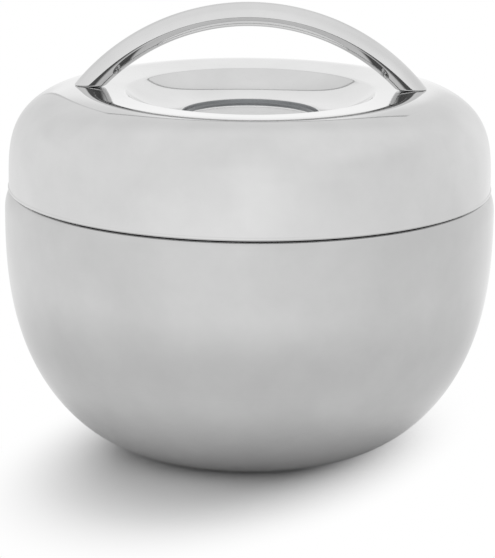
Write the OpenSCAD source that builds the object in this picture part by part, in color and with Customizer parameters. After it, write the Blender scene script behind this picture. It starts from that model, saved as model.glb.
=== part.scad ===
// Insulated stainless serving bowl with a domed bayonet lid and a fixed arched handle.
// Millimetres, +Z up, origin at the middle of the underside, handle along X.

/* [Bowl] */
// Widest diameter of the bowl
bowl_d = 170; // [164:0.5:190]
// Height of the widest ring above the table
belly_h = 84.6; // [78:0.2:100]
// Diameter of the flat underside
base_d = 72.2; // [68:0.2:90]
// How far the shoulder draws in above the widest ring
shoulder_in = 2.6; // [2:0.1:4]
// Height of the shoulder above the widest ring
shoulder_rise = 6.8; // [4:0.1:8]
// Thickness of the pressed steel
sheet = 0.8; // [0.5:0.05:1]
// How far the inner shell's mouth stands in from the widest ring
mouth_in = 12; // [11:0.1:14]
// Vacuum gap under the inner shell's floor
vacuum_gap = 8; // [6:0.2:12]
// Diameter of the flat floor inside the bowl
floor_d = 48; // [40:1:60]

/* [Lid] */
// How far the lid's wall stands in from the bowl's widest ring
lid_in = 1.4; // [1:0.1:1.9]
// Height of the lid's steel from its lower edge to its crown
lid_rise = 34.86; // [32:0.1:42]
// Diameter of the lid's crown, the highest ring
crown_d = 114.5; // [110:0.5:120]
// How far the flat rim inside the crown falls towards the dish
rim_drop = 1.2; // [0.6:0.1:2]
// Diameter of the dish at its edge
dish_d = 87; // [80:0.5:92]
// Depth of the dish below its edge
dish_depth = 7.9; // [5:0.1:9]
// Diameter of the round recess in the dish
recess_d = 47.4; // [30:0.2:56]
// Depth of the recess below the dish
recess_depth = 1.35; // [0.8:0.05:4]
// Open height of the seam between bowl and lid
seam_gap = 0.4; // [0.3:0.05:1]
// Height of the rolled bead along the lid's lower edge
bead_d = 1.2; // [0.9:0.05:1.6]

/* [Handle] */
// Diameter of the handle's round rod
rod_d = 8.4; // [8:0.1:10]
// Radius of the handle's arc, to the middle of the rod
arc_r = 73.4; // [66:0.2:80]
// Height of the rod's middle above the crown at the top of the arc
arc_rise = 25.4; // [22:0.2:32]
// Diameter of the handle screws
screw_d = 4; // [3:0.1:4]

/* [Bayonet] */
// Number of lugs round the lid's plug
lug_count = 3; // [2:1:4]
// Angle that one lug takes up
lug_angle = 26; // [16:1:30]
// Angle that the lid turns to lock
lock_angle = 36; // [34:1:40]
// Depth of the lid's plug below its liner
plug_depth = 14.3; // [12:0.1:20]

/* [Hidden] */
$fn = 96;
overrun = 1;
running_gap = 0.4;
seat_gap = 0.3;

// Bowl: base, flank and shoulder
flank_power = 2.596;
base_power = 1.736;
flank_steps = 26;
shoulder_steps = 6;
foot_ring_w = 3.2;
base_recess = 3.2;
closure_ledge = 8.9;
neck_h = 16.5;
flange_w = 6.5;
shoulder_h = belly_h + shoulder_rise;
mouth_r = bowl_d / 2 - mouth_in;
foot_in_r = base_d / 2 - foot_ring_w;
closure_r = foot_in_r - closure_ledge;
inner_floor_h = base_recess + vacuum_gap + sheet;

// Bottom plate, vacuum plug, getter, foil and base cover
plate_margin = 6;
plug_hole_d = 3;
plug_head_d = 7;
plug_head_h = 0.5;
getter_d = 8;
getter_h = 2.4;
getter_place = 12;
foil_t = 0.3;
foil_gap = 0.2;
cover_drop = 0.8;

// Lid shell
lid_side_power = 3.715;
lid_crown_power = 1.842;
lid_steps = 24;
dish_steps = 14;
hem_w = 2.6;
dish_power = 5;
recess_slant = 0.3;
lid_base_h = shoulder_h + seam_gap;
lid_top_h = lid_base_h + lid_rise;
lid_r = bowl_d / 2 - lid_in;
crown_r = crown_d / 2;
dish_r = dish_d / 2;
recess_r = recess_d / 2;
recess_base_h = top_h(recess_r) - recess_depth;
hem_in_r = lid_r - hem_w;
liner_r = lid_r - sheet - seat_gap;

// Neck ring and neck seal
ring_wall = 1.7;
ring_flange_t = 1.5;
ring_flange_in = 1.2;
ring_skirt = 11.5;
ledge_w = 1.6;
ledge_t = 2.8;
lug_side_angle = 4;
gap_relief = 0.2;
stop_angle = 4;
stop_clear_angle = 1.5;
neck_seal_d = 1.2;
neck_seal_drop = 6.5;
neck_groove_depth = 1;
neck_groove_h = 1.4;
ring_flange_r = hem_in_r - ring_flange_in;
ring_out_r = mouth_r - seat_gap;
ring_in_r = ring_out_r - ring_wall;
ledge_r = ring_in_r - ledge_w;
ring_top_h = shoulder_h + ring_flange_t;
ledge_under_h = ring_top_h - ledge_t;

// Lid seal, liner and insulation
seal_t = 1.7;
seal_w = 5.5;
seal_groove_d = 0.8;
liner_t = 1.5;
liner_edge_w = 1.8;
plug_wall = 2;
plug_clear = 0.8;
lug_h = 3;
foam_gap = 0.3;
plug_r = ledge_r - plug_clear;
lug_r = ring_in_r - running_gap;
seal_base_h = ring_top_h + seat_gap;
liner_under_h = seal_base_h + seal_t + seat_gap;
liner_top_h = liner_under_h + liner_t;

// Handle and what fastens it
arc_centre_h = lid_top_h + arc_rise - arc_r;
foot_x = sqrt(pow(arc_r, 2) - pow(lid_top_h - arc_centre_h, 2));
arc_end_angle = 35;
foot_drop = 0.1;
screw_in = 2.2;
screw_engage = 5;
screw_slack = 0.1;
screw_head_h = 2.6;
head_share = 1.9;
hex_share = 0.62;
hex_depth_share = 0.55;
hole_share = 1.15;
washer_share = 2.25;
washer_t = 0.8;
saddle_share = 3.2;
saddle_t = 2.6;
pocket_margin = 1.5;
screw_x = foot_x - screw_in;
foot_h = top_h(screw_x);
saddle_base_h = foot_h - sheet - saddle_t;
screw_seat_h = saddle_base_h - washer_t;
pocket_base_h = screw_seat_h - screw_head_h - pocket_margin;

// Profiles are lists of [radius, height] points along one face of the sheet

function unit(v) = v / norm(v);
function left_of(v) = [-v[1], v[0]];
function heading(p, i) = unit(p[i + 1] - p[i]);

// A point of the profile moved by t to the left of the way the profile runs, mitred at corners
function moved(p, i, t) =
    let (n = len(p) - 1)
    let (before = left_of(heading(p, max(i - 1, 0))), after = left_of(heading(p, min(i, n - 1))))
    let (both = before + after)
    p[i] + both * 2 * t / (both * both);

function beside(p, t) = [for (i = [0:len(p) - 1]) moved(p, i, t)];
function reversed(p) = [for (i = [len(p) - 1:-1:0]) p[i]];
function sheet_outline(p, t) = concat(p, reversed(beside(p, t)));

// Flank of a bowl from its flat floor at r0, h0 to the upright wall at r1, h1
function flank(r0, h0, r1, h1) = [for (i = [0:flank_steps])
    let (rise = pow(i / flank_steps, 2))
    [r0 + (r1 - r0) * pow(1 - pow(1 - rise, flank_power), 1 / base_power), h0 + (h1 - h0) * rise]];

// Rounded shoulder, a quarter of an ellipse, from the widest ring to the flange
function shoulder() = [for (i = [1:shoulder_steps])
    let (a = 90 * i / shoulder_steps)
    [bowl_d / 2 - shoulder_in * (1 - cos(a)), belly_h + shoulder_rise * sin(a)]];

function bowl_outside() = concat(
    [[closure_r, base_recess], [foot_in_r, base_recess], [foot_in_r, 0]],
    flank(base_d / 2, 0, bowl_d / 2, belly_h),
    shoulder(),
    [[mouth_r, shoulder_h]]);

function bowl_inside() = concat(
    [[0, inner_floor_h]],
    flank(floor_d / 2, inner_floor_h, mouth_r, shoulder_h - neck_h),
    [[mouth_r, shoulder_h - sheet], [mouth_r + flange_w, shoulder_h - sheet]]);

// Side of the lid from height h0 up and in to the crown
function lid_side(h0) = [for (i = [0:lid_steps])
    let (start_share = (h0 - lid_base_h) / lid_rise)
    let (rise = 1 - (1 - start_share) * pow(1 - i / lid_steps, 2))
    [crown_r + (lid_r - crown_r) * pow(1 - pow(rise, lid_side_power), 1 / lid_crown_power),
     lid_base_h + lid_rise * rise]];

// Height of the lid's top at radius r: the rim inside the crown, then the dish
function top_h(r) = r > dish_r
    ? lid_top_h - rim_drop * (crown_r - r) / (crown_r - dish_r)
    : lid_top_h - rim_drop - dish_depth * (1 - pow(r / dish_r, dish_power));

// Top of the lid from the dish's edge in to the recess, and the recess to the axis
function lid_top() = concat(
    [for (i = [0:dish_steps]) let (r = dish_r + (recess_r - dish_r) * i / dish_steps) [r, top_h(r)]],
    [[recess_r - recess_slant, recess_base_h], [0, recess_base_h]]);

function lid_outside(h0) = concat(lid_side(h0), lid_top());

module spun(points) {
    rotate_extrude() polygon(points);
}

module pipe(outer_r, inner_r, low, high) {
    spun([[inner_r, low], [outer_r, low], [outer_r, high], [inner_r, high]]);
}

// Ring sector centred on angle a, for lugs, gaps and stops
module sector(outer_r, inner_r, low, high, a, width) {
    rotate([0, 0, a - width / 2])
        rotate_extrude(angle = width)
            polygon([[inner_r, low], [outer_r, low], [outer_r, high], [inner_r, high]]);
}

module both_feet() {
    for (side = [0, 1]) mirror([side, 0, 0]) translate([screw_x, 0, 0]) children();
}

// The lid as one solid, which trims what stands on it
module lid_filled(under) {
    spun(concat([[0, lid_base_h], [lid_r - under, lid_base_h]],
        beside(lid_outside(lid_base_h), under)));
}

module bowl_outer_shell() {
    color("#c9cbcc") spun(sheet_outline(bowl_outside(), sheet));
}

module bowl_inner_shell() {
    color("#bfc1c2") spun(sheet_outline(bowl_inside(), -sheet));
}

module bowl_heat_foil() {
    path = flank(floor_d / 2, inner_floor_h, mouth_r, shoulder_h - neck_h);
    foil_path = beside(path, -sheet - foil_gap);
    color("#c98a5b") spun(sheet_outline(foil_path, -foil_t));
}

module bowl_bottom_plate() {
    color("#b4b6b8")
        pipe(closure_r + plate_margin, plug_hole_d / 2, base_recess - sheet, base_recess);
}

module bowl_vacuum_plug() {
    color("#8a8d90")
        spun([[0, base_recess - sheet - plug_head_h], [plug_head_d / 2, base_recess - sheet - plug_head_h],
            [plug_head_d / 2, base_recess - sheet], [plug_hole_d / 2, base_recess - sheet],
            [plug_hole_d / 2, base_recess], [0, base_recess]]);
}

module bowl_getter() {
    color("#7d8084") translate([getter_place, 0, base_recess]) cylinder(d = getter_d, h = getter_h);
}

// Thin dish with an upturned rim that meets the recessed flange
module bowl_base_cover() {
    rim_r = foot_in_r - seat_gap;
    color("#bfc1c2")
        spun([[0, cover_drop], [rim_r, cover_drop], [rim_r, base_recess],
            [rim_r - sheet, base_recess], [rim_r - sheet, cover_drop + sheet], [0, cover_drop + sheet]]);
}

// Collar in the mouth: flange on the shoulder, skirt in the neck, ledge with gaps for the lugs
module neck_ring() {
    skirt_h = shoulder_h - ring_skirt;
    groove_h = shoulder_h - neck_seal_drop - neck_groove_h / 2;
    groove_r = ring_out_r - neck_groove_depth;
    gap_angle = lug_angle + 2 * lug_side_angle;
    stop_reach = lug_angle / 2 + stop_clear_angle + stop_angle / 2;
    color("#3a3c3e") difference() {
        union() {
            spun([[ring_in_r, skirt_h], [ring_out_r, skirt_h], [ring_out_r, groove_h],
                [groove_r, groove_h], [groove_r, groove_h + neck_groove_h],
                [ring_out_r, groove_h + neck_groove_h],
                [ring_out_r, shoulder_h], [ring_flange_r, shoulder_h], [ring_flange_r, ring_top_h],
                [ledge_r, ring_top_h], [ledge_r, ledge_under_h], [ring_in_r, ledge_under_h]]);
            for (i = [1:lug_count])
                for (a = [stop_reach, -lock_angle - stop_reach])
                    sector(ring_in_r + gap_relief, ledge_r + gap_relief, ledge_under_h - lug_h,
                        ledge_under_h + gap_relief, 360 * i / lug_count + a, stop_angle);
        }
        for (i = [1:lug_count])
            sector(ring_in_r + gap_relief, ledge_r - overrun, ledge_under_h - gap_relief,
                ring_top_h + overrun, 360 * i / lug_count, gap_angle);
    }
}

module neck_seal() {
    color("#d9dad6")
        rotate_extrude()
            translate([mouth_r - neck_seal_d / 2, shoulder_h - neck_seal_drop]) circle(d = neck_seal_d);
}

// Flat ring with two grooves in its upper face, loose round the plug
module lid_seal() {
    inner_r = plug_r + running_gap;
    color("#d9dad6") rotate_extrude() difference() {
        translate([inner_r, seal_base_h]) square([seal_w, seal_t]);
        for (r = [inner_r + seal_w / 3, inner_r + seal_w * 2 / 3])
            translate([r, seal_base_h + seal_t]) circle(d = seal_groove_d);
    }
}

module lid_outer_shell() {
    color("#d2d4d5") difference() {
        rotate_extrude() {
            polygon(sheet_outline(concat([[hem_in_r, lid_base_h]], lid_outside(lid_base_h)), sheet));
            translate([lid_r - bead_d / 4, lid_base_h + bead_d / 2]) circle(d = bead_d);
        }
        both_feet() translate([0, 0, saddle_base_h]) cylinder(d = screw_d * hole_share, h = lid_rise);
    }
}

module lid_insulation() {
    base_h = liner_top_h + foam_gap;
    color("#e8e2c8") difference() {
        spun(concat([[0, base_h]], beside(lid_outside(base_h), sheet + foam_gap)));
        both_feet() translate([0, 0, pocket_base_h])
            cylinder(d = screw_d * saddle_share + 2 * pocket_margin, h = lid_rise);
    }
}

// Plastic underside of the lid: disc, edge standing on the hem, plug and lugs
module lid_liner() {
    color("#44474a") {
        spun([[0, liner_under_h], [plug_r - plug_wall, liner_under_h],
            [plug_r - plug_wall, liner_under_h - plug_depth], [plug_r, liner_under_h - plug_depth],
            [plug_r, liner_under_h], [liner_r - liner_edge_w, liner_under_h],
            [liner_r - liner_edge_w, lid_base_h + sheet], [liner_r, lid_base_h + sheet],
            [liner_r, liner_top_h], [0, liner_top_h]]);
        for (i = [1:lug_count])
            sector(lug_r, plug_r - plug_wall / 2, ledge_under_h - running_gap - lug_h,
                ledge_under_h - running_gap, 360 * i / lug_count, lug_angle);
    }
}

// Round rod bent to an arc, its ends cut level where they stand on the crown
module handle() {
    color("#d2d4d5") difference() {
        translate([0, 0, arc_centre_h]) rotate([90, 0, 0]) rotate([0, 0, arc_end_angle])
            rotate_extrude(angle = 180 - 2 * arc_end_angle) translate([arc_r, 0]) circle(d = rod_d);
        lid_filled(0);
        translate([-arc_r, -rod_d, lid_top_h - foot_drop - 2 * rod_d])
            cube([2 * arc_r, 2 * rod_d, 2 * rod_d]);
        both_feet() translate([0, 0, saddle_base_h])
            cylinder(d = screw_d + screw_slack, h = foot_h - saddle_base_h + screw_engage);
    }
}

module handle_screws() {
    color("#9a9da0") both_feet() {
        translate([0, 0, screw_seat_h])
            cylinder(d = screw_d, h = foot_h - screw_seat_h + screw_engage - seat_gap);
        difference() {
            translate([0, 0, screw_seat_h - screw_head_h])
                cylinder(d = screw_d * head_share, h = screw_head_h);
            translate([0, 0, screw_seat_h - screw_head_h - overrun])
                cylinder(d = screw_d * hex_share, h = overrun + screw_head_h * hex_depth_share, $fn = 6);
        }
    }
}

module handle_washers() {
    color("#b4b6b8") both_feet() translate([0, 0, screw_seat_h]) difference() {
        cylinder(d = screw_d * washer_share, h = washer_t);
        translate([0, 0, -overrun]) cylinder(d = screw_d * hole_share, h = washer_t + 2 * overrun);
    }
}

// Round pads, flat below and shaped to the underside of the lid's steel above
module handle_saddles() {
    color("#55585a") intersection() {
        lid_filled(sheet);
        both_feet() translate([0, 0, saddle_base_h]) difference() {
            cylinder(d = screw_d * saddle_share, h = lid_rise);
            translate([0, 0, -overrun]) cylinder(d = screw_d * hole_share, h = lid_rise + 2 * overrun);
        }
    }
}

bowl_outer_shell();
bowl_inner_shell();
bowl_heat_foil();
bowl_bottom_plate();
bowl_vacuum_plug();
bowl_getter();
bowl_base_cover();
neck_ring();
neck_seal();
lid_seal();
lid_outer_shell();
lid_insulation();
lid_liner();
handle();
handle_screws();
handle_washers();
handle_saddles();
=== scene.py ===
import math

import bmesh
import bpy
from bpy.props import FloatProperty, PointerProperty, StringProperty
from mathutils import Euler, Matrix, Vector


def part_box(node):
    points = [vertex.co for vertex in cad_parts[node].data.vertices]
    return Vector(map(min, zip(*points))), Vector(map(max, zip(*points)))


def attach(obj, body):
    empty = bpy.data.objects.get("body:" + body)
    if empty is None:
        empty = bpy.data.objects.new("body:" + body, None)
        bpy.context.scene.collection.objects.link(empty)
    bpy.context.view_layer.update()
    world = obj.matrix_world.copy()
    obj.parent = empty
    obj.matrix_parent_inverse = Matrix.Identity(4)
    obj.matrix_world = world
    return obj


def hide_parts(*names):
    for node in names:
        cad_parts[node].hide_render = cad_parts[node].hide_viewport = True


bl_info = {
    "name": "Insulated Bowl Builder",
    "version": (1, 0, 0),
    "blender": (4, 5, 0),
    "location": "View3D > Sidebar > Bowl",
    "description": "Models and finishes an insulated stainless bowl with its lid and handle",
    "category": "Object",
}

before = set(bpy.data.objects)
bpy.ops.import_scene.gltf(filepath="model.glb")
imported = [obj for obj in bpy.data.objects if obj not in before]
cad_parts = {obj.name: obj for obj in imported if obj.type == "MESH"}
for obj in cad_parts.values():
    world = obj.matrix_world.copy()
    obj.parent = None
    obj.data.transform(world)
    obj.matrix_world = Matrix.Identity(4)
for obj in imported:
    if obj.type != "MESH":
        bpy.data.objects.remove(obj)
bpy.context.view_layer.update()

MM = 0.001

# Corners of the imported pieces' boxes that the visible pieces keep to
BOWL_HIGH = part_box("bowl_outer_shell")[1]
INNER_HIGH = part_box("bowl_inner_shell")[1]
COVER_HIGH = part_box("bowl_base_cover")[1]
LID_LOW, LID_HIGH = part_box("lid_outer_shell")
ROD_LOW, ROD_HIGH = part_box("handle")

# Curvature of the pressed profiles, the same as in the solids
FLANK_POWER = 2.596
BASE_POWER = 1.736
LID_SIDE_POWER = 3.715
LID_CROWN_POWER = 1.842
DISH_POWER = 5

# Steps round the pieces and along their profiles
WEDGES = 16
WEDGE_STEPS = 16
PROFILE_STEPS = 72
SHOULDER_STEPS = 18
RIM_STEPS = 6
DISH_STEPS = 40
ROD_SIDES = 96
ROD_STEPS = 220

# Angle above level at which the bent rod starts, lower than its feet, where it is cut off
ROD_START = math.radians(30)

# Heights of the rings that draw the rod in at its feet, as shares of the rounding
FOOT_RING_SHARES = (0.02, 0.08, 0.18, 0.32, 0.5, 0.75, 1.0)

MERGE_DISTANCE = 1e-6
SHARP_ANGLE = math.radians(28)

# How far to both sides of the recess's wall the painted shade and the higher roughness are full, and where
# they end
CORNER_SHADE_FULL = 0.25 * MM
CORNER_SHADE_END = 0.5 * MM
CORNER_ROUGHNESS = 0.4

# A mix node's two inputs and its result, for colours and for numbers
COLOUR_A, COLOUR_B, COLOUR = 6, 7, 2
NUMBER_A, NUMBER_B, NUMBER = 2, 3, 0
# Makes a map range node a soft step, 0 on the near side of From Min and 1 beyond From Max
SOFT = {"interpolation_type": "SMOOTHSTEP"}


def grey(level):
    """Linear colour of one brightness."""
    return level, level, level, 1.0


WHITE = grey(1.0)

# Half the width of the floor, in metres, and the painted shade that its glow has near the bowl, where the
# steel mirrors it
FLOOR_HALF = 3.0
MIRRORED_GLOW_SHADE = grey(0.78)

# Brightness of the room by the direction in degrees, 0 behind the bowl and 90 at its right
WALLS = (
    (-180, 1.03), (-162, 1.0), (-144, 0.99), (-126, 0.95), (-60, 0.95), (-42, 0.91), (-34, 0.87),
    (-27, 0.84), (-20, 0.8), (-13, 0.81), (-9, 0.95), (-5, 1.07), (2, 1.08), (5, 1.0), (8, 0.86),
    (13, 0.86), (20, 0.9), (28, 0.95), (42, 0.95), (60, 0.92), (75, 0.88), (115, 0.88), (138, 0.91),
    (160, 1.0), (180, 1.03),
)
# The same for the upper part of the walls
CORNICE = (
    (-180, 1.02), (-144, 0.98), (-90, 0.95), (-60, 0.9), (-30, 0.83), (0, 0.85), (20, 0.86),
    (42, 0.91), (75, 0.88), (115, 0.88), (150, 0.96), (180, 1.02),
)
CEILING = grey(0.96)

# Heights of view between which one part of the room goes over into the next, 0 level and 1 straight up
CORNICE_BAND = (0.25, 0.42)
CEILING_BAND = (0.6, 0.9)
# The same for its unlit front, with 1 straight back and -1 straight to the front
FRONT_BAND = (0.3, -0.1)
# The world counts itself as a bounce, so a ray that reaches it from a second mirroring counts 3
SECOND_MIRROR = 2.5

# Brightness of the reflector card: its face, the sides of its top, its left edge and its top edge
CARD_FACE = grey(1.04)
CARD_DIM = grey(0.84)
CARD_EDGE = grey(0.66)
CARD_RIM = grey(0.44)
# Share of an edge's width over which its shade is full, before it fades out over the rest
FULL_EDGE_SHARE = 0.8
# Distance from the card, as a multiple of card_near, from which steel mirrors it in full
CARD_FAR = 1.1

# Longer side of the photograph in pixels, the camera's sensor in millimetres and its range in metres
IMAGE_SIDE = 558
SENSOR = 36.0
NEAREST, FURTHEST = 0.01, 20.0


def length(name, description, default):
    return FloatProperty(name=name, description=description, default=default, min=0.0, unit="LENGTH",
                         precision=5)


def number(name, description, default, subtype="NONE"):
    return FloatProperty(name=name, description=description, default=default, subtype=subtype)


def angle(name, description, default):
    return number(name, description, default, subtype="ANGLE")


def hex_text(name, description, default):
    return StringProperty(name=name, description=description, default=default)


class BowlSizes(bpy.types.PropertyGroup):
    """Sizes of the bowl's two steel shells"""
    widest_radius: length("Widest radius", "Radius of the widest ring", BOWL_HIGH.x)
    belly_height: length("Belly height", "Height of the widest ring", 84.6 * MM)
    shoulder_height: length("Shoulder height", "Height of the shoulder", BOWL_HIGH.z)
    shoulder_in: length("Shoulder draw", "How far the shoulder draws in", 2.6 * MM)
    base_radius: length("Base radius", "Radius of the flat underside", 36.1 * MM)
    base_recess: length("Base recess", "Height of the recessed flange", COVER_HIGH.z)
    base_recess_radius: length("Base recess radius", "Radius of the recess", 32.9 * MM)
    closure_radius: length("Closure radius", "Radius of the opening under the recess", 24 * MM)
    sheet: length("Sheet", "Thickness of the steel", 0.8 * MM)
    mouth_radius: length("Mouth radius", "Clear radius of the inner shell's mouth", 73 * MM)
    flange_radius: length("Flange radius", "Outer radius of the inner shell's flange", INNER_HIGH.x)
    floor_radius: length("Floor radius", "Radius of the flat floor inside", 24 * MM)
    floor_height: length("Floor height", "Height of the floor inside", 12 * MM)
    neck_height: length("Neck height", "Height where the inner shell turns upright", 74.9 * MM)


class LidSizes(bpy.types.PropertyGroup):
    """Sizes of the lid's steel shell"""
    wall_radius: length("Wall radius", "Radius of the lid's wall at the seam", 83.6 * MM)
    base_height: length("Base height", "Height of the lid's lower edge", LID_LOW.z)
    top_height: length("Crown height", "Height of the crown", LID_HIGH.z)
    crown_radius: length("Crown radius", "Radius of the crown", 57.25 * MM)
    crown_round: length("Crown round", "Reach of the rounding on the crown", 1.2 * MM)
    rim_drop: length("Rim drop", "How far the flat rim falls from the crown to the dish", 1.2 * MM)
    dish_radius: length("Dish radius", "Radius where the rim turns down into the dish", 43.5 * MM)
    dish_round: length("Dish round", "Reach of the rounding on the dish's edge", 0.8 * MM)
    dish_depth: length("Dish depth", "Depth of the dish below its edge", 7.9 * MM)
    recess_radius: length("Recess radius", "Radius of the round recess", 23.7 * MM)
    recess_depth: length("Recess depth", "Depth of the recess below the dish", 1.35 * MM)
    recess_slant: length("Recess slant", "How far the recess narrows to its floor", 0.3 * MM)
    recess_round: length("Recess round", "Reach of the rounding on the recess's rim and floor", 0.4 * MM)
    sheet: length("Sheet", "Thickness of the steel", 0.8 * MM)
    hem_width: length("Hem width", "Width of the hem turned in under the liner", 2.6 * MM)
    bead: length("Bead", "Diameter of the rolled bead on the lower edge", 1.2 * MM)


class HandleSizes(bpy.types.PropertyGroup):
    """Sizes of the handle's rod and arc"""
    rod_radius: length("Rod radius", "Radius of the round rod", ROD_HIGH.y)
    arc_radius: length("Arc radius", "Radius of the arc to the middle of the rod", 73.4 * MM)
    apex_height: length("Apex height", "Height of the top of the rod", ROD_HIGH.z)
    foot_height: length("Foot height", "Height of the flat ends", ROD_LOW.z)
    foot_round: length("Foot round", "Radius of the broken edge round the flat ends", 0.45 * MM)


class FinishColours(bpy.types.PropertyGroup):
    """Colours of the finishes as hex values"""
    polished: hex_text("Polished steel", "Mirror polished stainless steel", "#D9D9D9")
    # Painted shade: a darker copy of the polished steel, for the bowl's wall
    shaded_polished: hex_text("Drawn steel", "Mirror polished stainless steel of the deep bowl", "#CBCBCB")
    # Painted highlight: the colour that the recess's floor is painted, brighter than the rest of the lid
    recess: hex_text("Recess floor", "Mirror polished flat floor of the lid's recess", "#F2F2F2")
    # Painted shade: the dark colour painted into the corner at the recess's wall
    recess_shade: hex_text("Unbuffed steel", "Dark skin of the press in the lid's recess", "#8A8C8E")
    satin: hex_text("Satin steel", "Brushed stainless steel inside", "#C4C6C8")
    plain: hex_text("Plain steel", "Mill finished steel", "#A8AAAC")
    copper: hex_text("Copper", "Copper heat foil", "#C77B54")
    plastic: hex_text("Plastic", "Moulded dark polypropylene", "#2C2E30")
    silicone: hex_text("Silicone", "Translucent grey silicone rubber", "#C9CAC6")
    foam: hex_text("Foam", "Rigid polyurethane foam", "#E6DCB8")
    floor: hex_text("Floor", "Pale studio floor", "#F1F1F1")


class StageSettings(bpy.types.PropertyGroup):
    """Camera, floor, reflector card and light of the studio"""
    camera_reach: length("Camera reach", "Level distance from camera to bowl", 982.2 * MM)
    camera_height: length("Camera height", "Height of the camera", 306.86 * MM)
    camera_turn: angle("Camera turn", "Turn of the camera round the bowl", math.radians(1.7))
    camera_pitch: angle("Camera pitch", "Angle of the view below level", 0.24795)
    camera_roll: angle("Camera roll", "Tilt of the camera about its view", 0.0086)
    focal_pixels: number("Focal length", "Focal length in pixels of the image", 2885.7)
    centre_shift: number("Centre shift", "Sideways shift in pixels", 1.31)
    shadow_side: length("Shadow side", "How far the shadow's middle lies to the left", 3.7 * MM)
    shadow_front: length("Shadow front", "How far the shadow's middle lies to the front", 9.4 * MM)
    shadow_turn: angle("Shadow turn", "Direction of the shadow's long axis", math.radians(66.5))
    shadow_stretch: number("Shadow stretch", "Length of the shadow over its width", 1.88)
    shadow_start: length("Shadow start", "Half width at which the shadow starts to fade", 30 * MM)
    shadow_end: length("Shadow end", "Half width at which the shadow is gone", 75 * MM)
    contact_start: length("Contact start", "Radius where the dark under the bowl starts to fade", 31 * MM)
    contact_end: length("Contact end", "Radius where the dark under the bowl is gone", 69 * MM)
    mirror_start: length("Mirror start", "Radius where the mirrored floor's shade starts to fade", 48 * MM)
    mirror_end: length("Mirror end", "Radius where the mirrored floor has no shade left", 100 * MM)
    glow_shade_start: length("Table start", "Radius where the mirrored floor starts to brighten", 110 * MM)
    glow_shade_end: length("Table end", "Radius where the mirrored floor is as bright as the walls", 240 * MM)
    dark_level: number("Dark level", "Brightness of the room's unlit lower front", 0.12)
    dark_bottom: number("Dark bottom", "Height of view below which the front is dark", 0.42)
    dark_top: number("Dark top", "Height of view above which the front is bright", 0.58)
    card_back: length("Card distance", "How far behind the bowl's axis the reflector card hangs", 147 * MM)
    card_left: length("Card left", "How far the card's foot reaches to the left", 123 * MM)
    card_lean: number("Card lean", "How far the left edge leans in over its height", 0.13)
    card_right: length("Card right", "How far the card reaches to the right", 98 * MM)
    card_height: length("Card height", "Height of the card's top", 237 * MM)
    card_edge: length("Card edge", "Width of the card's shaded left edge", 3.5 * MM)
    card_rim: length("Card rim", "Width of the card's shaded top", 7 * MM)
    card_foot: length("Card foot", "Height below which the card is clear", 120 * MM)
    card_bright: length("Card bright", "Height where the card is solid and its sides start to dim", 150 * MM)
    card_dim: length("Card dim", "Height from which the card's sides are at their dimmest", 200 * MM)
    card_middle: length("Card middle", "Half width of the card's evenly bright middle", 40 * MM)
    card_side: length("Card side", "Distance from the middle at which the card is dim", 72 * MM)
    card_fade: length("Card fade", "How far right the card starts to go over into the wall", 35 * MM)
    card_near: length("Card near", "Steel this close in front of the card doesn't mirror it", 84 * MM)
    fill_strength: number("Fill", "Strength of the light from all round", 0.6)
    key_power: number("Key power", "Power of the soft lamp", 12.5, subtype="POWER")
    key_size: length("Key size", "Diameter of the soft lamp", 1.5)
    key_reach: length("Key reach", "Distance of the soft lamp", 1.6)
    key_turn: angle("Key turn", "Direction of the lamp from the back to the right", math.radians(22))
    key_height: angle("Key height", "Angle of the lamp above the floor", math.radians(62))


# Outlines are lists of (radius, height) along one face of the steel


def flank(r0, h0, r1, h1, steps):
    """Side of a bowl from the flat floor at r0, h0 to the upright wall at r1, h1."""
    points = []
    for i in range(steps + 1):
        rise = (i / steps) ** 2
        out = (1 - (1 - rise) ** FLANK_POWER) ** (1 / BASE_POWER)
        points.append(Vector((r0 + (r1 - r0) * out, h0 + (h1 - h0) * rise)))
    return points


def shoulder(sizes, steps):
    """Quarter ellipse from the widest ring to the flange."""
    rise = sizes.shoulder_height - sizes.belly_height
    points = []
    for i in range(1, steps + 1):
        a = math.pi / 2 * i / steps
        points.append(Vector((sizes.widest_radius - sizes.shoulder_in * (1 - math.cos(a)),
                              sizes.belly_height + rise * math.sin(a))))
    return points


def top_height(sizes, r):
    """Height of the lid's top at radius r: a rim that falls a little inwards, then the dish."""
    if r > sizes.dish_radius:
        fall = (sizes.crown_radius - r) / (sizes.crown_radius - sizes.dish_radius)
        return sizes.top_height - sizes.rim_drop * fall
    depth = sizes.dish_depth * (1 - (r / sizes.dish_radius) ** DISH_POWER)
    return sizes.top_height - sizes.rim_drop - depth


def lid_side(sizes, steps):
    """Side of the lid from its lower edge up and in to the crown."""
    points = []
    for i in range(steps + 1):
        rise = 1 - (1 - i / steps) ** 2
        out = (1 - rise ** LID_SIDE_POWER) ** (1 / LID_CROWN_POWER)
        points.append(Vector((sizes.crown_radius + (sizes.wall_radius - sizes.crown_radius) * out,
                              sizes.base_height + (sizes.top_height - sizes.base_height) * rise)))
    return points


def rounded(points, corner, reach, steps=8):
    """points with the corner at index corner replaced by a parabola that starts and ends reach away."""
    before = [p for p in points[:corner] if (p - points[corner]).length > reach]
    after = [p for p in points[corner + 1:] if (p - points[corner]).length > reach]
    tip = points[corner]
    start = tip + (before[-1] - tip).normalized() * reach
    end = tip + (after[0] - tip).normalized() * reach
    curve = []
    for i in range(steps + 1):
        t = i / steps
        curve.append(start * (1 - t) ** 2 + tip * 2 * t * (1 - t) + end * t ** 2)
    return before + curve + after


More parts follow.
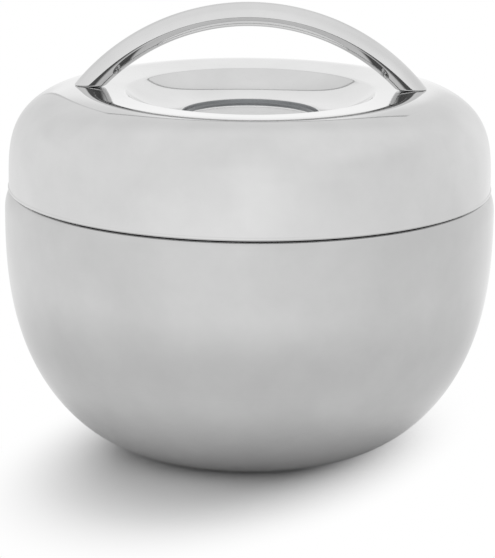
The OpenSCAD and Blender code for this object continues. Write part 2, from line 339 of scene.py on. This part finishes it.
def lid_face(sizes):
    """Outer face of the lid from the hem's inner edge to the axis."""
    points = [Vector((sizes.wall_radius - sizes.hem_width, sizes.base_height))]
    points += lid_side(sizes, PROFILE_STEPS)
    crown = len(points) - 1
    for i in range(1, RIM_STEPS + 1):
        r = sizes.crown_radius + (sizes.dish_radius - sizes.crown_radius) * i / RIM_STEPS
        points.append(Vector((r, top_height(sizes, r))))
    edge = len(points) - 1
    for i in range(1, DISH_STEPS + 1):
        r = sizes.dish_radius + (sizes.recess_radius - sizes.dish_radius) * i / DISH_STEPS
        points.append(Vector((r, top_height(sizes, r))))
    rim = len(points) - 1
    low = top_height(sizes, sizes.recess_radius) - sizes.recess_depth
    points.append(Vector((sizes.recess_radius - sizes.recess_slant, low)))
    points.append(Vector((0.0, low)))
    points = rounded(points, rim + 1, sizes.recess_round)
    points = rounded(points, rim, sizes.recess_round)
    points = rounded(points, edge, sizes.dish_round)
    return rounded(points, crown, sizes.crown_round)


def beside(points, t):
    """The outline moved by t to the left of the way it runs, mitred at its corners."""
    moved = []
    for i, point in enumerate(points):
        sides = []
        if i:
            sides.append((point - points[i - 1]).normalized())
        if i < len(points) - 1:
            sides.append((points[i + 1] - point).normalized())
        normals = [Vector((-d.y, d.x)) for d in sides]
        mean = sum(normals, Vector((0.0, 0.0))) / len(normals)
        moved.append(point + mean * t / mean.length_squared)
    return moved


def sheet_outline(points, t):
    """Closed outline of sheet t thick, with points along one of its faces."""
    return points + beside(points, t)[::-1]


def finish_mesh(bm, name):
    """Closes, smooths and names a piece, with sharp edges where the steel turns hard."""
    bmesh.ops.remove_doubles(bm, verts=bm.verts, dist=MERGE_DISTANCE)
    bmesh.ops.recalc_face_normals(bm, faces=bm.faces)
    for face in bm.faces:
        face.smooth = True
    for edge in bm.edges:
        edge.smooth = len(edge.link_faces) == 2 and edge.calc_face_angle(0.0) < SHARP_ANGLE
    mesh = bpy.data.meshes.new(name)
    bm.to_mesh(mesh)
    bm.free()
    piece = bpy.data.objects.new(name, mesh)
    bpy.context.scene.collection.objects.link(piece)
    return piece


def lathe(name, outlines):
    """Spins closed outlines about the vertical axis: one wedge first, then its copies round the circle."""
    bm = bmesh.new()
    for outline in outlines:
        verts = [bm.verts.new((p.x, 0.0, p.y)) for p in outline]
        for i in range(len(verts)):
            bm.edges.new((verts[i - 1], verts[i]))
    turn = {"cent": (0, 0, 0), "axis": (0, 0, 1), "dvec": (0, 0, 0), "use_merge": False,
            "use_normal_flip": False}
    bmesh.ops.spin(bm, geom=bm.verts[:] + bm.edges[:], angle=math.tau / WEDGES, steps=WEDGE_STEPS,
                   use_duplicate=False, **turn)
    bmesh.ops.spin(bm, geom=bm.verts[:] + bm.edges[:] + bm.faces[:], angle=math.tau * (WEDGES - 1) / WEDGES,
                   steps=WEDGES - 1, use_duplicate=True, **turn)
    return finish_mesh(bm, name)


def circle_outline(centre, radius, steps=20):
    """Closed outline of a round bead."""
    return [centre + Vector((math.cos(math.tau * i / steps), math.sin(math.tau * i / steps))) * radius
            for i in range(steps)]


def dressed_copy(node, name):
    """A smooth-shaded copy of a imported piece, with its loose triangles merged."""
    bm = bmesh.new()
    bm.from_mesh(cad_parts[node].data)
    return finish_mesh(bm, name)


# Finishes


def linear(text):
    """Linear colour of an sRGB hex value."""
    channels = [int(text[i:i + 2], 16) / 255 for i in (1, 3, 5)]
    return tuple(c / 12.92 if c <= 0.04045 else ((c + 0.055) / 1.055) ** 2.4 for c in channels) + (1.0,)


def finish_colour(key):
    """Linear colour of one finish in the panel."""
    return linear(getattr(bpy.context.scene.bowl_finish, key))


def add(tree, kind, values=None):
    """Adds a node with its settings and with its inputs set or linked, and gives back its outputs."""
    node = tree.nodes.new(kind)
    for key, value in (values or {}).items():
        if isinstance(value, bpy.types.NodeSocket):
            tree.links.new(value, node.inputs[key])
        elif isinstance(key, str) and hasattr(node, key):
            setattr(node, key, value)
        else:
            node.inputs[key].default_value = value
    return node.outputs


def new_material(name):
    """An empty material, its node tree and the place on the piece in metres."""
    material = bpy.data.materials.new(name)
    material.use_nodes = True
    tree = material.node_tree
    tree.nodes.clear()
    return material, tree, add(tree, "ShaderNodeTexCoord")["Object"]


def ring_distance(tree, vector):
    """Distance from the vertical axis, for marks that run round the piece."""
    flat = add(tree, "ShaderNodeVectorMath", {"operation": "MULTIPLY", 0: vector, 1: (1.0, 1.0, 0.0)})[0]
    return add(tree, "ShaderNodeVectorMath", {"operation": "LENGTH", 0: flat})["Value"]


def grained(tree, pattern, values, rough, strength, depth):
    """Gives a material a surface whose roughness and relief both follow one pattern."""
    roughness = add(tree, "ShaderNodeMapRange", {
        "To Min": rough[0], "To Max": rough[1], "Value": pattern})[0]
    bump = add(tree, "ShaderNodeBump", {"Strength": strength, "Distance": depth, "Height": pattern})[0]
    shader = add(tree, "ShaderNodeBsdfPrincipled", {**values, "Roughness": roughness, "Normal": bump})[0]
    add(tree, "ShaderNodeOutputMaterial", {"Surface": shader})


def recess_painted_light(tree, where, radius, film, tone, rough):
    """Paints a highlight on a recess's floor and paints shade into its corner, which it also roughens, and
    gives back the new tone and roughness.
    """
    off = add(tree, "ShaderNodeMath", {
        "operation": "SUBTRACT", 0: ring_distance(tree, where), 1: radius})[0]
    # Painted highlight: the recess's flat floor is painted brighter than the rest of the lid
    floor = add(tree, "ShaderNodeMapRange", {
        **SOFT, "From Min": 0.0, "From Max": -CORNER_SHADE_END, "Value": off})[0]
    highlight_tone = add(tree, "ShaderNodeVectorMath", {
        "operation": "SCALE", 0: finish_colour("recess")[:3], "Scale": film})[0]
    tone = add(tree, "ShaderNodeMix", {
        "data_type": "RGBA", 0: floor, COLOUR_A: tone, COLOUR_B: highlight_tone})[COLOUR]
    # Painted shade: the corner at the recess's wall is painted dark and made rougher
    away = add(tree, "ShaderNodeMath", {"operation": "ABSOLUTE", 0: off})[0]
    corner_shade_and_dullness = add(tree, "ShaderNodeMapRange", {
        **SOFT, "From Min": CORNER_SHADE_END, "From Max": CORNER_SHADE_FULL, "Value": away})[0]
    tone = add(tree, "ShaderNodeMix", {
        "data_type": "RGBA", 0: corner_shade_and_dullness, COLOUR_A: tone, COLOUR_B: finish_colour("recess_shade")})[COLOUR]
    rough = add(tree, "ShaderNodeMix", {0: corner_shade_and_dullness, NUMBER_A: rough, NUMBER_B: CORNER_ROUGHNESS})[NUMBER]
    return tone, rough


def polished_steel(name, colour, recess=None):
    """18/8 stainless sheet, pressed and then buffed on a mop: a clear mirror with faint buffing haze.

    recess is the radius of a recess's wall, if the piece has one."""
    material, tree, where = new_material(name)
    haze = add(tree, "ShaderNodeTexNoise", {
        "Scale": 1 / (9 * MM), "Detail": 3.0, "Roughness": 0.55, "Vector": where})["Fac"]
    rough = add(tree, "ShaderNodeMapRange", {"To Min": 0.035, "To Max": 0.075, "Value": haze})[0]
    # Compound and finger grease that the last wipe left, in clouds a few centimetres across
    clouds = add(tree, "ShaderNodeTexNoise", {
        "Scale": 1 / (28 * MM), "Detail": 4.0, "Roughness": 0.55, "Vector": where})["Fac"]
    film = add(tree, "ShaderNodeMapRange", {"To Min": 1.12, "To Max": 0.88, "Value": clouds})[0]
    tone = add(tree, "ShaderNodeVectorMath", {
        "operation": "SCALE", 0: finish_colour(colour)[:3], "Scale": film})[0]
    # Painted highlight on the recess's floor and painted shade in its corner
    if recess:
        tone, rough = recess_painted_light(tree, where, recess, film, tone, rough)
    # Buffing marks are a few hundredths of a millimetre apart, drawn at 0.6 mm so that they show
    marks = add(tree, "ShaderNodeTexNoise", {
        "Scale": 1 / (0.6 * MM), "Detail": 2.0, "Roughness": 0.55, "Vector": where})["Fac"]
    bump = add(tree, "ShaderNodeBump", {"Strength": 0.02, "Distance": 0.02 * MM, "Height": marks})[0]
    shader = add(tree, "ShaderNodeBsdfPrincipled", {
        "Metallic": 1.0, "Base Color": tone, "Roughness": rough, "Normal": bump})[0]
    add(tree, "ShaderNodeOutputMaterial", {"Surface": shader})
    return material


def satin_steel(name, colour):
    """18/8 stainless sheet brushed while it turns: fine rings and a soft sheen."""
    material, tree, where = new_material(name)
    height = add(tree, "ShaderNodeSeparateXYZ", {0: where})["Z"]
    rings = add(tree, "ShaderNodeCombineXYZ", {"X": ring_distance(tree, where), "Z": height})[0]
    # Real brush lines are about 0.05 mm apart, drawn at 0.35 mm so that they show
    lines = add(tree, "ShaderNodeTexNoise", {
        "Scale": 1 / (0.35 * MM), "Detail": 4.0, "Roughness": 0.55, "Vector": rings})["Fac"]
    grained(tree, lines, {"Base Color": finish_colour(colour), "Metallic": 1.0},
            rough=(0.24, 0.4), strength=0.08, depth=0.03 * MM)
    return material


def copper_foil(name):
    """Rolled copper foil, wrapped by hand: warm, bright and slightly crumpled."""
    material, tree, where = new_material(name)
    creases = add(tree, "ShaderNodeTexNoise", {
        "Scale": 1 / (6 * MM), "Detail": 5.0, "Roughness": 0.7, "Vector": where})["Fac"]
    grained(tree, creases, {"Base Color": finish_colour("copper"), "Metallic": 1.0},
            rough=(0.22, 0.42), strength=0.3, depth=0.3 * MM)
    return material


def moulded_plastic(name):
    """Polypropylene from a fine-eroded mould: dark, even and softly glossy with a fine grain."""
    material, tree, where = new_material(name)
    grain = add(tree, "ShaderNodeTexNoise", {
        "Scale": 1 / (0.45 * MM), "Detail": 2.0, "Roughness": 0.55, "Vector": where})["Fac"]
    grained(tree, grain, {"Base Color": finish_colour("plastic"), "IOR": 1.49},
            rough=(0.38, 0.52), strength=0.15, depth=0.05 * MM)
    return material


def silicone_rubber(name):
    """Food-grade silicone: milky grey, matt and slightly clouded."""
    material, tree, where = new_material(name)
    cloud = add(tree, "ShaderNodeTexNoise", {
        "Scale": 1 / (5 * MM), "Detail": 2.0, "Roughness": 0.55, "Vector": where})["Fac"]
    rough = add(tree, "ShaderNodeMapRange", {"To Min": 0.5, "To Max": 0.62, "Value": cloud})[0]
    shader = add(tree, "ShaderNodeBsdfPrincipled", {
        "Base Color": finish_colour("silicone"), "IOR": 1.43, "Roughness": rough, "Subsurface Weight": 0.15,
        "Subsurface Radius": (2 * MM, 2 * MM, 2 * MM), "Subsurface Scale": 1.0})[0]
    add(tree, "ShaderNodeOutputMaterial", {"Surface": shader})
    return material


def rigid_foam(name):
    """Poured polyurethane foam: pale yellow, dry and open-pored where it was trimmed."""
    material, tree, where = new_material(name)
    pores = add(tree, "ShaderNodeTexVoronoi", {"Scale": 1 / (0.8 * MM), "Vector": where})["Distance"]
    bump = add(tree, "ShaderNodeBump", {"Strength": 0.5, "Distance": 0.3 * MM, "Height": pores})[0]
    shader = add(tree, "ShaderNodeBsdfPrincipled", {
        "Base Color": finish_colour("foam"), "Roughness": 0.9, "Normal": bump})[0]
    add(tree, "ShaderNodeOutputMaterial", {"Surface": shader})
    return material


def finish(name):
    """The material of that name, made on first use."""
    lid = bpy.context.scene.lid_sizes
    makers = {
        "polished_stainless": (polished_steel, "polished"),
        "lid_stainless": (polished_steel, "polished", lid.recess_radius - lid.recess_slant / 2),
        # Painted shade: the bowl's wall is a darker copy of the lid's polished steel
        "shaded_bowl_stainless": (polished_steel, "shaded_polished"),
        "satin_stainless": (satin_steel, "satin"),
        "plain_steel": (satin_steel, "plain"),
        "copper_foil": (copper_foil,),
        "moulded_polypropylene": (moulded_plastic,),
        "food_silicone": (silicone_rubber,),
        "polyurethane_foam": (rigid_foam,),
    }
    maker, *settings = makers[name]
    return bpy.data.materials.get(name) or maker(name, *settings)


# Building steps


def place(piece, body, material, node):
    """Gives a new piece its finish and body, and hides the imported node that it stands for."""
    piece.data.materials.clear()
    piece.data.materials.append(finish(material))
    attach(piece, body)
    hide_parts(node)


class BOWL_OT_outer_shell(bpy.types.Operator):
    """Models the polished outer shell of the bowl"""
    bl_idname = "bowl.outer_shell"
    bl_label = "Outer Shell"
    bl_options = {"REGISTER", "UNDO"}

    def execute(self, context):
        s = context.scene.bowl_sizes
        face = [Vector((s.closure_radius, s.base_recess)), Vector((s.base_recess_radius, s.base_recess)),
                Vector((s.base_recess_radius, 0.0))]
        face += flank(s.base_radius, 0.0, s.widest_radius, s.belly_height, PROFILE_STEPS)
        face += shoulder(s, SHOULDER_STEPS)
        face.append(Vector((s.mouth_radius, s.shoulder_height)))
        piece = lathe("bowl_outer_skin", [sheet_outline(face, s.sheet)])
        place(piece, "bowl", "shaded_bowl_stainless", "bowl_outer_shell")
        return {"FINISHED"}


class BOWL_OT_inner_shell(bpy.types.Operator):
    """Models the brushed inner shell that holds the food"""
    bl_idname = "bowl.inner_shell"
    bl_label = "Inner Shell"
    bl_options = {"REGISTER", "UNDO"}

    def execute(self, context):
        s = context.scene.bowl_sizes
        under = s.shoulder_height - s.sheet
        face = [Vector((0.0, s.floor_height))]
        face += flank(s.floor_radius, s.floor_height, s.mouth_radius, s.neck_height, PROFILE_STEPS)
        face += [Vector((s.mouth_radius, under)), Vector((s.flange_radius, under))]
        piece = lathe("bowl_inner_skin", [sheet_outline(face, -s.sheet)])
        place(piece, "bowl", "satin_stainless", "bowl_inner_shell")
        return {"FINISHED"}


class BOWL_OT_lid_shell(bpy.types.Operator):
    """Models the polished shell of the lid with its dish, recess and bead"""
    bl_idname = "bowl.lid_shell"
    bl_label = "Lid Shell"
    bl_options = {"REGISTER", "UNDO"}

    def execute(self, context):
        s = context.scene.lid_sizes
        # The bead stands out from the wall by a quarter of its width
        bead = circle_outline(Vector((s.wall_radius - s.bead / 4, s.base_height + s.bead / 2)), s.bead / 2)
        piece = lathe("lid_outer_skin", [sheet_outline(lid_face(s), s.sheet), bead])
        place(piece, "lid", "lid_stainless", "lid_outer_shell")
        return {"FINISHED"}


def round_feet(bm, sizes, centre):
    """Breaks the sharp edge of the cut rod by drawing its lowest rings in round a small radius."""
    low, reach = sizes.foot_height, sizes.foot_round
    for share in FOOT_RING_SHARES:
        bmesh.ops.bisect_plane(bm, geom=bm.verts[:] + bm.edges[:] + bm.faces[:], dist=MERGE_DISTANCE,
                               plane_co=(0, 0, low + reach * share), plane_no=(0, 0, 1))
    for vert in bm.verts:
        rise = max(vert.co.z - low, 0.0)
        if rise < reach:
            out = math.sqrt(sizes.arc_radius ** 2 - (vert.co.z - centre.z) ** 2)
            axis = Vector((math.copysign(out, vert.co.x), 0.0, vert.co.z))
            inset = reach - math.sqrt(rise * (2 * reach - rise))
            vert.co -= (vert.co - axis).normalized() * inset


class BOWL_OT_handle(bpy.types.Operator):
    """Bends the polished rod of the handle and cuts its ends flat"""
    bl_idname = "bowl.handle"
    bl_label = "Handle"
    bl_options = {"REGISTER", "UNDO"}

    def execute(self, context):
        s = context.scene.handle_sizes
        centre = Vector((0.0, 0.0, s.apex_height - s.rod_radius - s.arc_radius))
        bm = bmesh.new()
        ring = bmesh.ops.create_circle(bm, cap_ends=False, segments=ROD_SIDES, radius=s.rod_radius)["verts"]
        bmesh.ops.translate(bm, verts=ring, vec=(s.arc_radius, 0, 0))
        bmesh.ops.rotate(bm, verts=ring, cent=(0, 0, 0), matrix=Euler((0, -ROD_START, 0)).to_matrix())
        bmesh.ops.translate(bm, verts=ring, vec=centre)
        bmesh.ops.spin(bm, geom=bm.verts[:] + bm.edges[:], cent=centre, axis=(0, -1, 0), dvec=(0, 0, 0),
                       angle=math.pi - 2 * ROD_START, steps=ROD_STEPS, use_merge=False,
                       use_normal_flip=False, use_duplicate=False)
        cut = bmesh.ops.bisect_plane(bm, geom=bm.verts[:] + bm.edges[:] + bm.faces[:], dist=MERGE_DISTANCE,
                                     plane_co=(0, 0, s.foot_height), plane_no=(0, 0, -1),
                                     clear_outer=True, clear_inner=False)
        rims = [e for e in cut["geom_cut"] if isinstance(e, bmesh.types.BMEdge)]
        bmesh.ops.edgenet_fill(bm, edges=rims)
        round_feet(bm, s, centre)
        piece = finish_mesh(bm, "handle_rod")
        place(piece, "lid", "polished_stainless", "handle")
        return {"FINISHED"}


class BOWL_OT_fittings(bpy.types.Operator):
    """Finishes the base cover, neck ring, liner, seals and the pieces inside the walls"""
    bl_idname = "bowl.fittings"
    bl_label = "Fittings"
    bl_options = {"REGISTER", "UNDO"}

    def execute(self, context):
        rows = [
            ("bowl_base_cover", "bowl", "satin_stainless", "satin_steel"),
            ("neck_ring", "bowl", "moulded_polypropylene", "dark_plastic"),
            ("neck_seal", "bowl", "food_silicone", "silicone"),
            ("lid_seal", "seal", "food_silicone", "silicone"),
            ("lid_liner", "lid", "moulded_polypropylene", "dark_plastic"),
        ]
        for node, body, material, slot in rows:
            place(dressed_copy(node, node + "_finished"), body, material, node)
        inside = {
            "bowl_heat_foil": "copper_foil",
            "bowl_bottom_plate": "plain_steel",
            "bowl_vacuum_plug": "plain_steel",
            "bowl_getter": "plain_steel",
            "lid_insulation": "polyurethane_foam",
            "handle_screws": "plain_steel",
            "handle_washers": "plain_steel",
            "handle_saddles": "moulded_polypropylene",
        }
        for node, material in inside.items():
            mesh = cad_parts[node].data
            mesh.materials.clear()
            mesh.materials.append(finish(material))
        return {"FINISHED"}


# Studio


def around(tree, parts, levels):
    """Grey level by the direction round the vertical axis, between the stops of levels."""
    turn = add(tree, "ShaderNodeMath", {"operation": "ARCTAN2", 0: parts["X"], 1: parts["Y"]})[0]
    share = add(tree, "ShaderNodeMapRange", {"From Min": -math.pi, "From Max": math.pi, "Value": turn})[0]
    colour = add(tree, "ShaderNodeValToRGB", {0: share})["Color"]
    stops = colour.node.color_ramp.elements
    for i, (degrees, level) in enumerate(levels):
        stop = stops.new(degrees / 360 + 0.5) if 0 < i < len(levels) - 1 else stops[i]
        stop.color = grey(level)
    return colour


def studio_floor(scene):
    """A wide pale sheet that keeps the bowl's soft shadow and goes over into the white round it."""
    s = scene.stage_settings
    bm = bmesh.new()
    bmesh.ops.create_grid(bm, x_segments=1, y_segments=1, size=FLOOR_HALF)
    floor = finish_mesh(bm, "studio_floor")
    material, tree, where = new_material("floor_paper")
    rays = add(tree, "ShaderNodeLightPath")
    # The shadow's outline: an ellipse that lies to the front and left, away from the lamp
    oval = add(tree, "ShaderNodeMapping", {
        "vector_type": "TEXTURE", "Vector": where, "Location": (-s.shadow_side, -s.shadow_front, 0.0),
        "Rotation": (0.0, 0.0, s.shadow_turn), "Scale": (s.shadow_stretch, 1.0, 1.0)})[0]
    distance = ring_distance(tree, where)
    # Soft steps outwards: out of the glow's painted shade to the walls' brightness, out of the shadow, and
    # out of the shade that is seen and the one that is mirrored under the bowl
    out_of_glow_shade, cast, contact, mirrored = [
        add(tree, "ShaderNodeMapRange", {**SOFT, "From Min": start, "From Max": end, "Value": value})[0]
        for value, start, end in (
            (distance, s.glow_shade_start, s.glow_shade_end),
            (ring_distance(tree, oval), s.shadow_start, s.shadow_end),
            (distance, s.contact_start, s.contact_end),
            (distance, s.mirror_start, s.mirror_end),
        )
    ]
    tone = add(tree, "ShaderNodeMix", {
        "data_type": "RGBA", 0: rays["Is Diffuse Ray"], COLOUR_A: WHITE,
        COLOUR_B: finish_colour("floor")})[COLOUR]
    paper = add(tree, "ShaderNodeBsdfDiffuse", {"Color": tone})[0]
    # The camera sees the sheet as white as the room, and the steel mirrors its glow, with painted shade near
    # the bowl that brightens out to the walls
    room = around(tree, add(tree, "ShaderNodeSeparateXYZ", {0: where}), WALLS)
    shaded_glow = add(tree, "ShaderNodeMix", {
        "data_type": "RGBA", 0: out_of_glow_shade, COLOUR_A: MIRRORED_GLOW_SHADE, COLOUR_B: room})[COLOUR]
    light = add(tree, "ShaderNodeMix", {
        "data_type": "RGBA", 0: rays["Is Camera Ray"], COLOUR_A: shaded_glow, COLOUR_B: WHITE})[COLOUR]
    glow = add(tree, "ShaderNodeEmission", {"Strength": 1.0, "Color": light})[0]
    # Near the bowl and for diffuse light it is plain paper, and elsewhere it glows
    seen = add(tree, "ShaderNodeMath", {"operation": "MINIMUM", 0: cast, 1: contact})[0]
    near = add(tree, "ShaderNodeMix", {
        0: rays["Is Camera Ray"], NUMBER_A: mirrored, NUMBER_B: seen})[NUMBER]
    unlit = add(tree, "ShaderNodeMath", {"operation": "SUBTRACT", 0: 1.0, 1: rays["Is Diffuse Ray"]})[0]
    share = add(tree, "ShaderNodeMath", {"operation": "MULTIPLY", 0: near, 1: unlit})[0]
    both = add(tree, "ShaderNodeMixShader", {0: share, 1: paper, 2: glow})[0]
    add(tree, "ShaderNodeOutputMaterial", {"Surface": both})
    floor.data.materials.append(material)


def studio_card(scene):
    """The white reflector card that hangs close behind the bowl and shows only in its polish."""
    s = scene.stage_settings
    bm = bmesh.new()
    corners = ((-s.card_left, 0.0), (s.card_right, 0.0), (s.card_right, s.card_height),
               (s.card_lean * s.card_height - s.card_left, s.card_height))
    bm.faces.new([bm.verts.new((x, s.card_back, z)) for x, z in corners])
    card = finish_mesh(bm, "studio_card")
    material, tree, where = new_material("card_paper")
    parts = add(tree, "ShaderNodeSeparateXYZ", {0: where})
    across, height = parts["X"], parts["Z"]
    leaning = add(tree, "ShaderNodeMath", {
        "operation": "MULTIPLY_ADD", 0: height, 1: -s.card_lean, 2: across})[0]
    side = add(tree, "ShaderNodeMath", {"operation": "ABSOLUTE", 0: across})[0]
    # How far in front of the card the mirroring steel is, whatever the slant of the ray
    incoming = add(tree, "ShaderNodeSeparateXYZ", {0: add(tree, "ShaderNodeNewGeometry")["Incoming"]})["Y"]
    ray = add(tree, "ShaderNodeLightPath")["Ray Length"]
    away = add(tree, "ShaderNodeMath", {"operation": "MULTIPLY", 0: incoming, 1: ray})[0]
    away = add(tree, "ShaderNodeMath", {"operation": "ABSOLUTE", 0: away})[0]
    # Soft steps over the card: into its upper part, to both sides, to the right, down from its top edge,
    # down to its foot, and for steel close in front of it
    upper, aside, right, below_top, low, close = [
        add(tree, "ShaderNodeMapRange", {**SOFT, "From Min": start, "From Max": end, "Value": value})[0]
        for value, start, end in (
            (height, s.card_bright, s.card_dim),
            (side, s.card_middle, s.card_side),
            (across, s.card_fade, s.card_right),
            (height, s.card_height - s.card_rim, s.card_dim),
            (height, s.card_bright, s.card_foot),
            (away, CARD_FAR * s.card_near, s.card_near),
        )
    ]
    dim = add(tree, "ShaderNodeMath", {"operation": "MULTIPLY", 0: upper, 1: aside})[0]
    face = add(tree, "ShaderNodeMix", {
        "data_type": "RGBA", 0: dim, COLOUR_A: CARD_FACE, COLOUR_B: CARD_DIM})[COLOUR]
    # The left edge, which leans in, and the top edge are shaded
    for value, limit, width, tone in ((leaning, -s.card_left, s.card_edge, CARD_EDGE),
                                      (height, s.card_height, -s.card_rim, CARD_RIM)):
        full = limit + FULL_EDGE_SHARE * width
        shade = add(tree, "ShaderNodeMapRange", {
            **SOFT, "From Min": limit + width, "From Max": full, "Value": value})[0]
        face = add(tree, "ShaderNodeMix", {
            "data_type": "RGBA", 0: shade, COLOUR_A: face, COLOUR_B: tone})[COLOUR]
    # On the right the card is lit like the wall behind it, and only its top stands out
    gone = add(tree, "ShaderNodeMath", {"operation": "MULTIPLY", 0: right, 1: below_top})[0]
    # It hangs over the bowl's back, which is close in front of it and doesn't mirror it
    for share in (low, close):
        gone = add(tree, "ShaderNodeMath", {"operation": "MAXIMUM", 0: gone, 1: share})[0]
    paper = add(tree, "ShaderNodeEmission", {"Strength": 1.0, "Color": face})[0]
    clear = add(tree, "ShaderNodeBsdfTransparent")[0]
    both = add(tree, "ShaderNodeMixShader", {0: gone, 1: paper, 2: clear})[0]
    add(tree, "ShaderNodeOutputMaterial", {"Surface": both})
    card.data.materials.append(material)
    card.visible_camera = False
    card.visible_diffuse = False
    card.visible_shadow = False


def studio_room(scene):
    """White walls all round, a little uneven, with a ceiling and an unlit lower front."""
    s = scene.stage_settings
    world = bpy.data.worlds.new("studio_room")
    scene.world = world
    world.use_nodes = True
    tree = world.node_tree
    tree.nodes.clear()
    rays = add(tree, "ShaderNodeLightPath")
    parts = add(tree, "ShaderNodeSeparateXYZ", {0: add(tree, "ShaderNodeTexCoord")["Generated"]})
    height = parts["Z"]
    colour = around(tree, parts, WALLS)
    for (start, end), above in ((CORNICE_BAND, around(tree, parts, CORNICE)), (CEILING_BAND, CEILING)):
        share = add(tree, "ShaderNodeMapRange", {
            **SOFT, "From Min": start, "From Max": end, "Value": height})[0]
        colour = add(tree, "ShaderNodeMix", {
            "data_type": "RGBA", 0: share, COLOUR_A: colour, COLOUR_B: above})[COLOUR]
    # Where steel mirrors steel, the unlit lower front of the room shows in it as dark bands
    unlit = add(tree, "ShaderNodeMath", {
        "operation": "GREATER_THAN", 0: rays["Ray Depth"], 1: SECOND_MIRROR})[0]
    for value, start, end in ((height, s.dark_top, s.dark_bottom), (parts["Y"], *FRONT_BAND)):
        share = add(tree, "ShaderNodeMapRange", {
            **SOFT, "From Min": start, "From Max": end, "Value": value})[0]
        unlit = add(tree, "ShaderNodeMath", {"operation": "MULTIPLY", 0: unlit, 1: share})[0]
    for share, tone in ((unlit, grey(s.dark_level)), (rays["Is Camera Ray"], WHITE)):
        colour = add(tree, "ShaderNodeMix", {
            "data_type": "RGBA", 0: share, COLOUR_A: colour, COLOUR_B: tone})[COLOUR]
    room = add(tree, "ShaderNodeBackground", {"Strength": 1.0, "Color": colour})[0]
    fill = add(tree, "ShaderNodeBackground", {"Color": WHITE, "Strength": s.fill_strength})[0]
    both = add(tree, "ShaderNodeMixShader", {0: rays["Is Diffuse Ray"], 1: room, 2: fill})[0]
    add(tree, "ShaderNodeOutputWorld", {"Surface": both})


def studio_lamp(scene):
    """One large soft lamp above the back and to the right, which the steel doesn't mirror."""
    s = scene.stage_settings
    data = bpy.data.lights.new("soft_key", "AREA")
    data.shape = "DISK"
    data.size = s.key_size
    data.energy = s.key_power
    key = bpy.data.objects.new("soft_key", data)
    scene.collection.objects.link(key)
    out = math.cos(s.key_height) * s.key_reach
    key.location = (math.sin(s.key_turn) * out, math.cos(s.key_turn) * out,
                    math.sin(s.key_height) * s.key_reach)
    key.rotation_euler = (-key.location).to_track_quat("-Z", "Y").to_euler()
    key.visible_glossy = False


def studio_camera(scene):
    """The camera at the photograph's viewpoint."""
    s = scene.stage_settings
    data = bpy.data.cameras.new("studio_camera")
    data.sensor_width = SENSOR
    data.lens = s.focal_pixels * data.sensor_width / IMAGE_SIDE
    data.shift_x = -s.centre_shift / IMAGE_SIDE
    data.clip_start = NEAREST
    data.clip_end = FURTHEST
    camera = bpy.data.objects.new("studio_camera", data)
    scene.collection.objects.link(camera)
    camera.location = (math.sin(s.camera_turn) * s.camera_reach,
                       -math.cos(s.camera_turn) * s.camera_reach, s.camera_height)
    level = Euler((math.pi / 2 - s.camera_pitch, 0.0, s.camera_turn)).to_matrix()
    camera.rotation_euler = (level @ Euler((0.0, 0.0, s.camera_roll)).to_matrix()).to_euler()
    scene.camera = camera


class BOWL_OT_stage(bpy.types.Operator):
    """Sets the floor, reflector card, room, lamp and camera"""
    bl_idname = "bowl.stage"
    bl_label = "Studio"
    bl_options = {"REGISTER", "UNDO"}

    def execute(self, context):
        for part in (studio_floor, studio_card, studio_room, studio_lamp, studio_camera):
            part(context.scene)
        context.scene.view_settings.view_transform = "Standard"
        return {"FINISHED"}


STEPS = (BOWL_OT_stage, BOWL_OT_outer_shell, BOWL_OT_inner_shell, BOWL_OT_lid_shell, BOWL_OT_handle,
         BOWL_OT_fittings)


class BOWL_PT_builder(bpy.types.Panel):
    """Lists the building steps and the sizes"""
    bl_idname = "BOWL_PT_builder"
    bl_label = "Insulated Bowl"
    bl_space_type = "VIEW_3D"
    bl_region_type = "UI"
    bl_category = "Bowl"

    def draw(self, context):
        for step in STEPS:
            self.layout.operator(step.bl_idname)
        for group in GROUPS:
            box = self.layout.box()
            settings = getattr(context.scene, group)
            for name in settings.__annotations__:
                box.prop(settings, name)


GROUPS = {
    "bowl_sizes": BowlSizes,
    "lid_sizes": LidSizes,
    "handle_sizes": HandleSizes,
    "bowl_finish": FinishColours,
    "stage_settings": StageSettings,
}


def register():
    for group in GROUPS.values():
        bpy.utils.register_class(group)
    for step in STEPS:
        bpy.utils.register_class(step)
    bpy.utils.register_class(BOWL_PT_builder)
    for name, group in GROUPS.items():
        setattr(bpy.types.Scene, name, PointerProperty(type=group))


def unregister():
    for name in GROUPS:
        delattr(bpy.types.Scene, name)
    bpy.utils.unregister_class(BOWL_PT_builder)
    for step in reversed(STEPS):
        bpy.utils.unregister_class(step)
    for group in GROUPS.values():
        bpy.utils.unregister_class(group)


def main():
    register()
    for step in STEPS:
        area, name = step.bl_idname.split(".")
        getattr(getattr(bpy.ops, area), name)()


if __name__ == "__main__":
    main()
